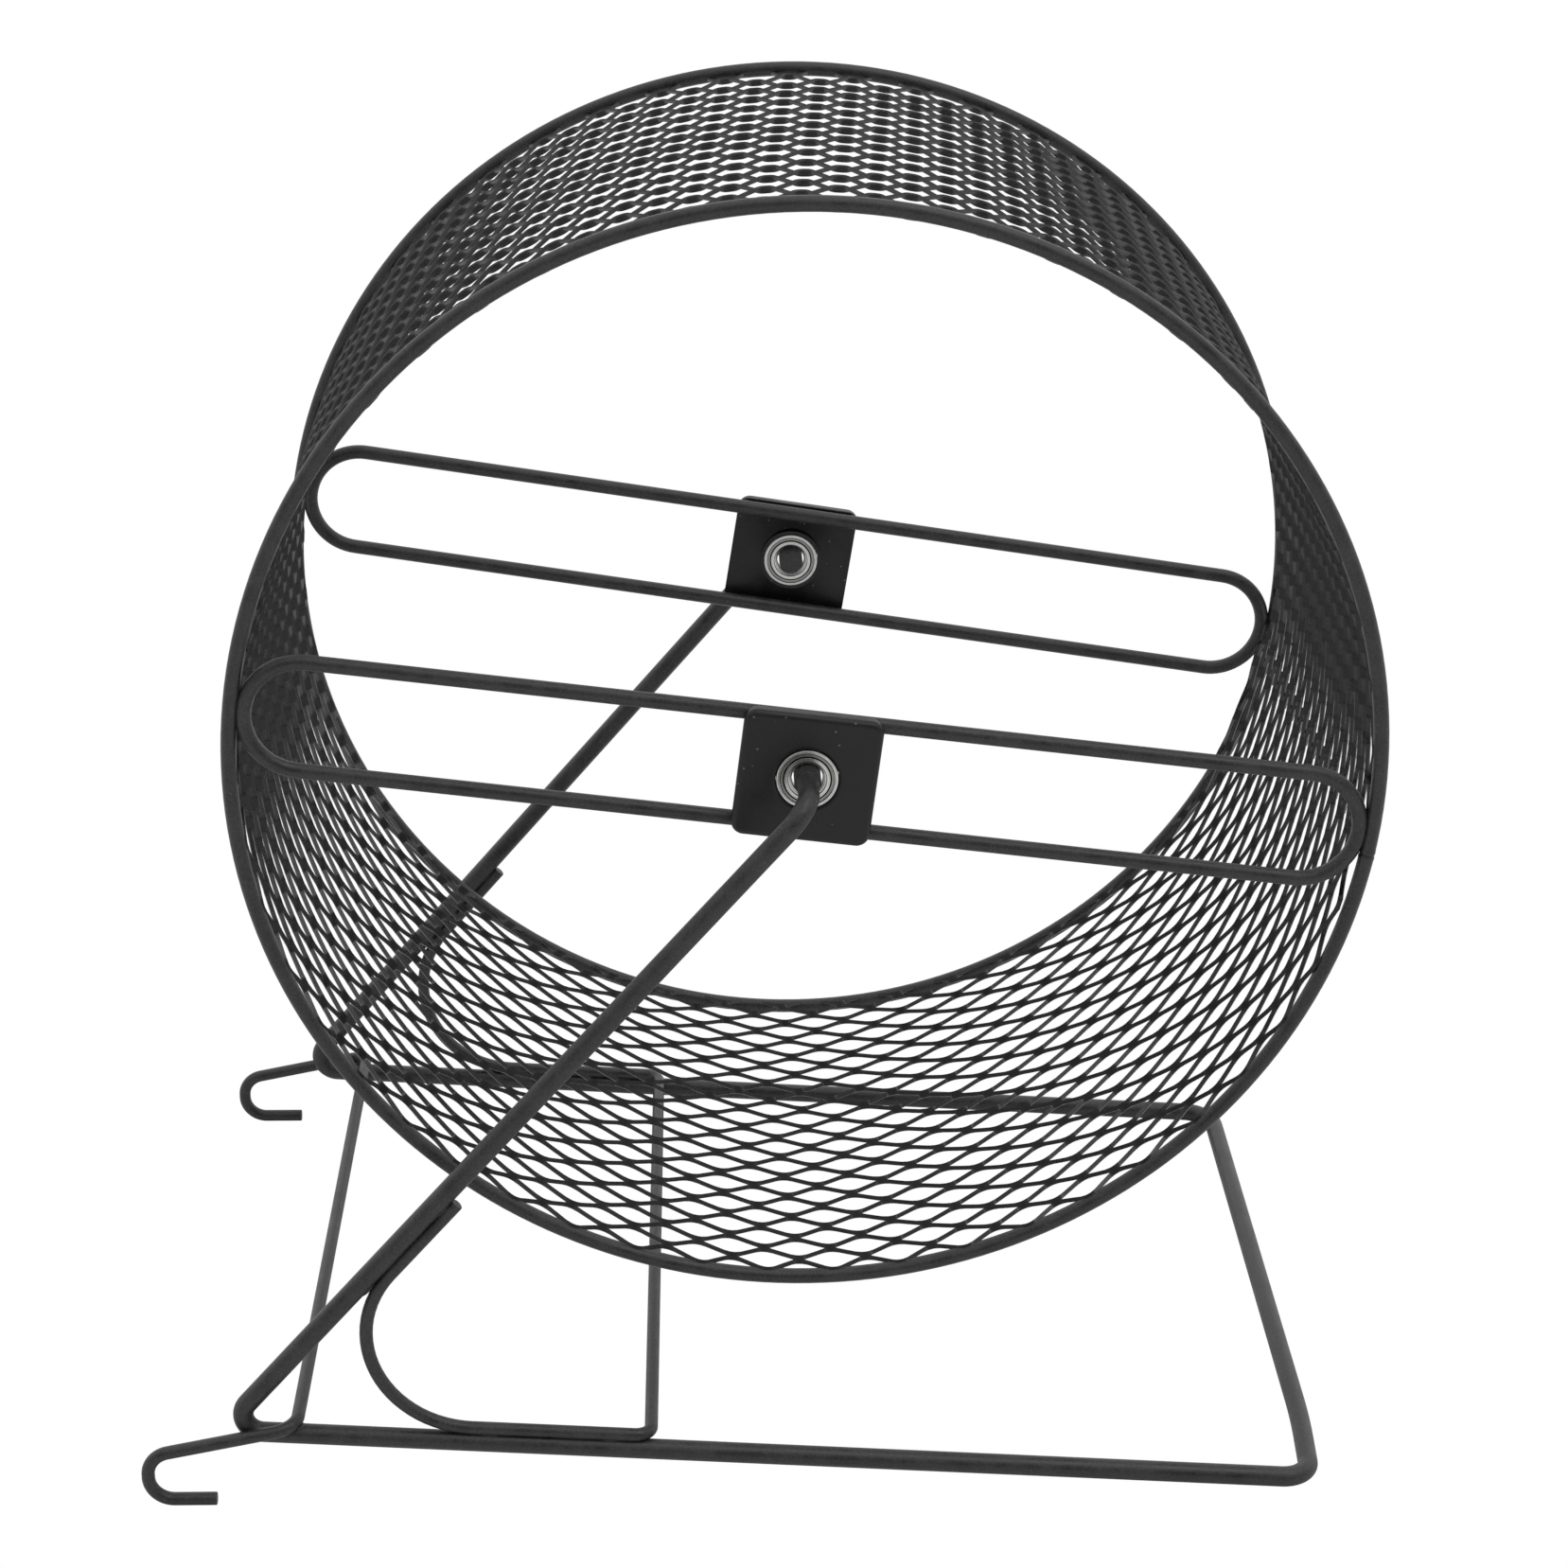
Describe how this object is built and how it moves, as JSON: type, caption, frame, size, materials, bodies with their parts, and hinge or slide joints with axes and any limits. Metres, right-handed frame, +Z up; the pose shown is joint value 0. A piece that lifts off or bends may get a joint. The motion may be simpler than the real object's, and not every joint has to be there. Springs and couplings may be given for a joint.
{
  "type": "hamster wheel",
  "caption": "Expanded-metal running wheel for a hamster, on ball bearings in a bent-wire stand with cage hooks.",
  "frame": {"origin": "on the floor, under the middle of the whole object's box", "axes": "+Z up, Y along the wheel's axle with the front at -Y, the cage hooks point to -X"},
  "size_m": [0.3284, 0.2292, 0.3515],
  "materials": {
    "wire_coat": "satin black powder coat with a fine texture",
    "mesh_coat": "satin black powder coat on expanded steel",
    "plate_coat": "smooth satin black coat",
    "bearing_steel": "ground and polished steel",
    "shield_steel": "stamped thin steel, slightly dull"
  },
  "bodies": {
    "stand": {"stand_frame": "wire_coat", "hook_wire": "wire_coat", "brace_wire": "wire_coat", "front_inner_race": "bearing_steel", "back_inner_race": "bearing_steel"},
    "wheel": {"front_ring": "wire_coat", "back_ring": "wire_coat", "running_mesh": "mesh_coat", "front_crossbar": "wire_coat", "back_crossbar": "wire_coat", "front_hub_plate": "plate_coat", "back_hub_plate": "plate_coat", "front_outer_race": "bearing_steel", "back_outer_race": "bearing_steel", "front_outer_shield": "shield_steel", "front_inner_shield": "shield_steel", "back_outer_shield": "shield_steel", "back_inner_shield": "shield_steel"},
    "front_ball_set": {"front_ball_cage": "shield_steel", "front_ball_1": "bearing_steel", "front_ball_2": "bearing_steel", "front_ball_3": "bearing_steel", "front_ball_4": "bearing_steel", "front_ball_5": "bearing_steel", "front_ball_6": "bearing_steel", "front_ball_7": "bearing_steel", "front_ball_8": "bearing_steel", "front_ball_9": "bearing_steel"},
    "back_ball_set": {"back_ball_cage": "shield_steel", "back_ball_1": "bearing_steel", "back_ball_2": "bearing_steel", "back_ball_3": "bearing_steel", "back_ball_4": "bearing_steel", "back_ball_5": "bearing_steel", "back_ball_6": "bearing_steel", "back_ball_7": "bearing_steel", "back_ball_8": "bearing_steel", "back_ball_9": "bearing_steel"}
  },
  "joints": [
    {"name": "wheel_spin", "type": "hinge", "parent": "stand", "child": "wheel", "pos_m": [0.01425, 0, 0.2015], "axis": [0, 1, 0], "continuous": true},
    {"name": "front_balls_roll", "type": "hinge", "parent": "stand", "child": "front_ball_set", "pos_m": [0.01425, -0.08805, 0.2015], "axis": [0, 1, 0], "continuous": true},
    {"name": "back_balls_roll", "type": "hinge", "parent": "stand", "child": "back_ball_set", "pos_m": [0.01425, 0.08805, 0.2015], "axis": [0, 1, 0], "continuous": true}
  ],
  "couplings": [
    {"joint": "front_balls_roll", "follows": "wheel_spin", "ratio": 0.58333},
    {"joint": "back_balls_roll", "follows": "wheel_spin", "ratio": 0.58333}
  ]
}
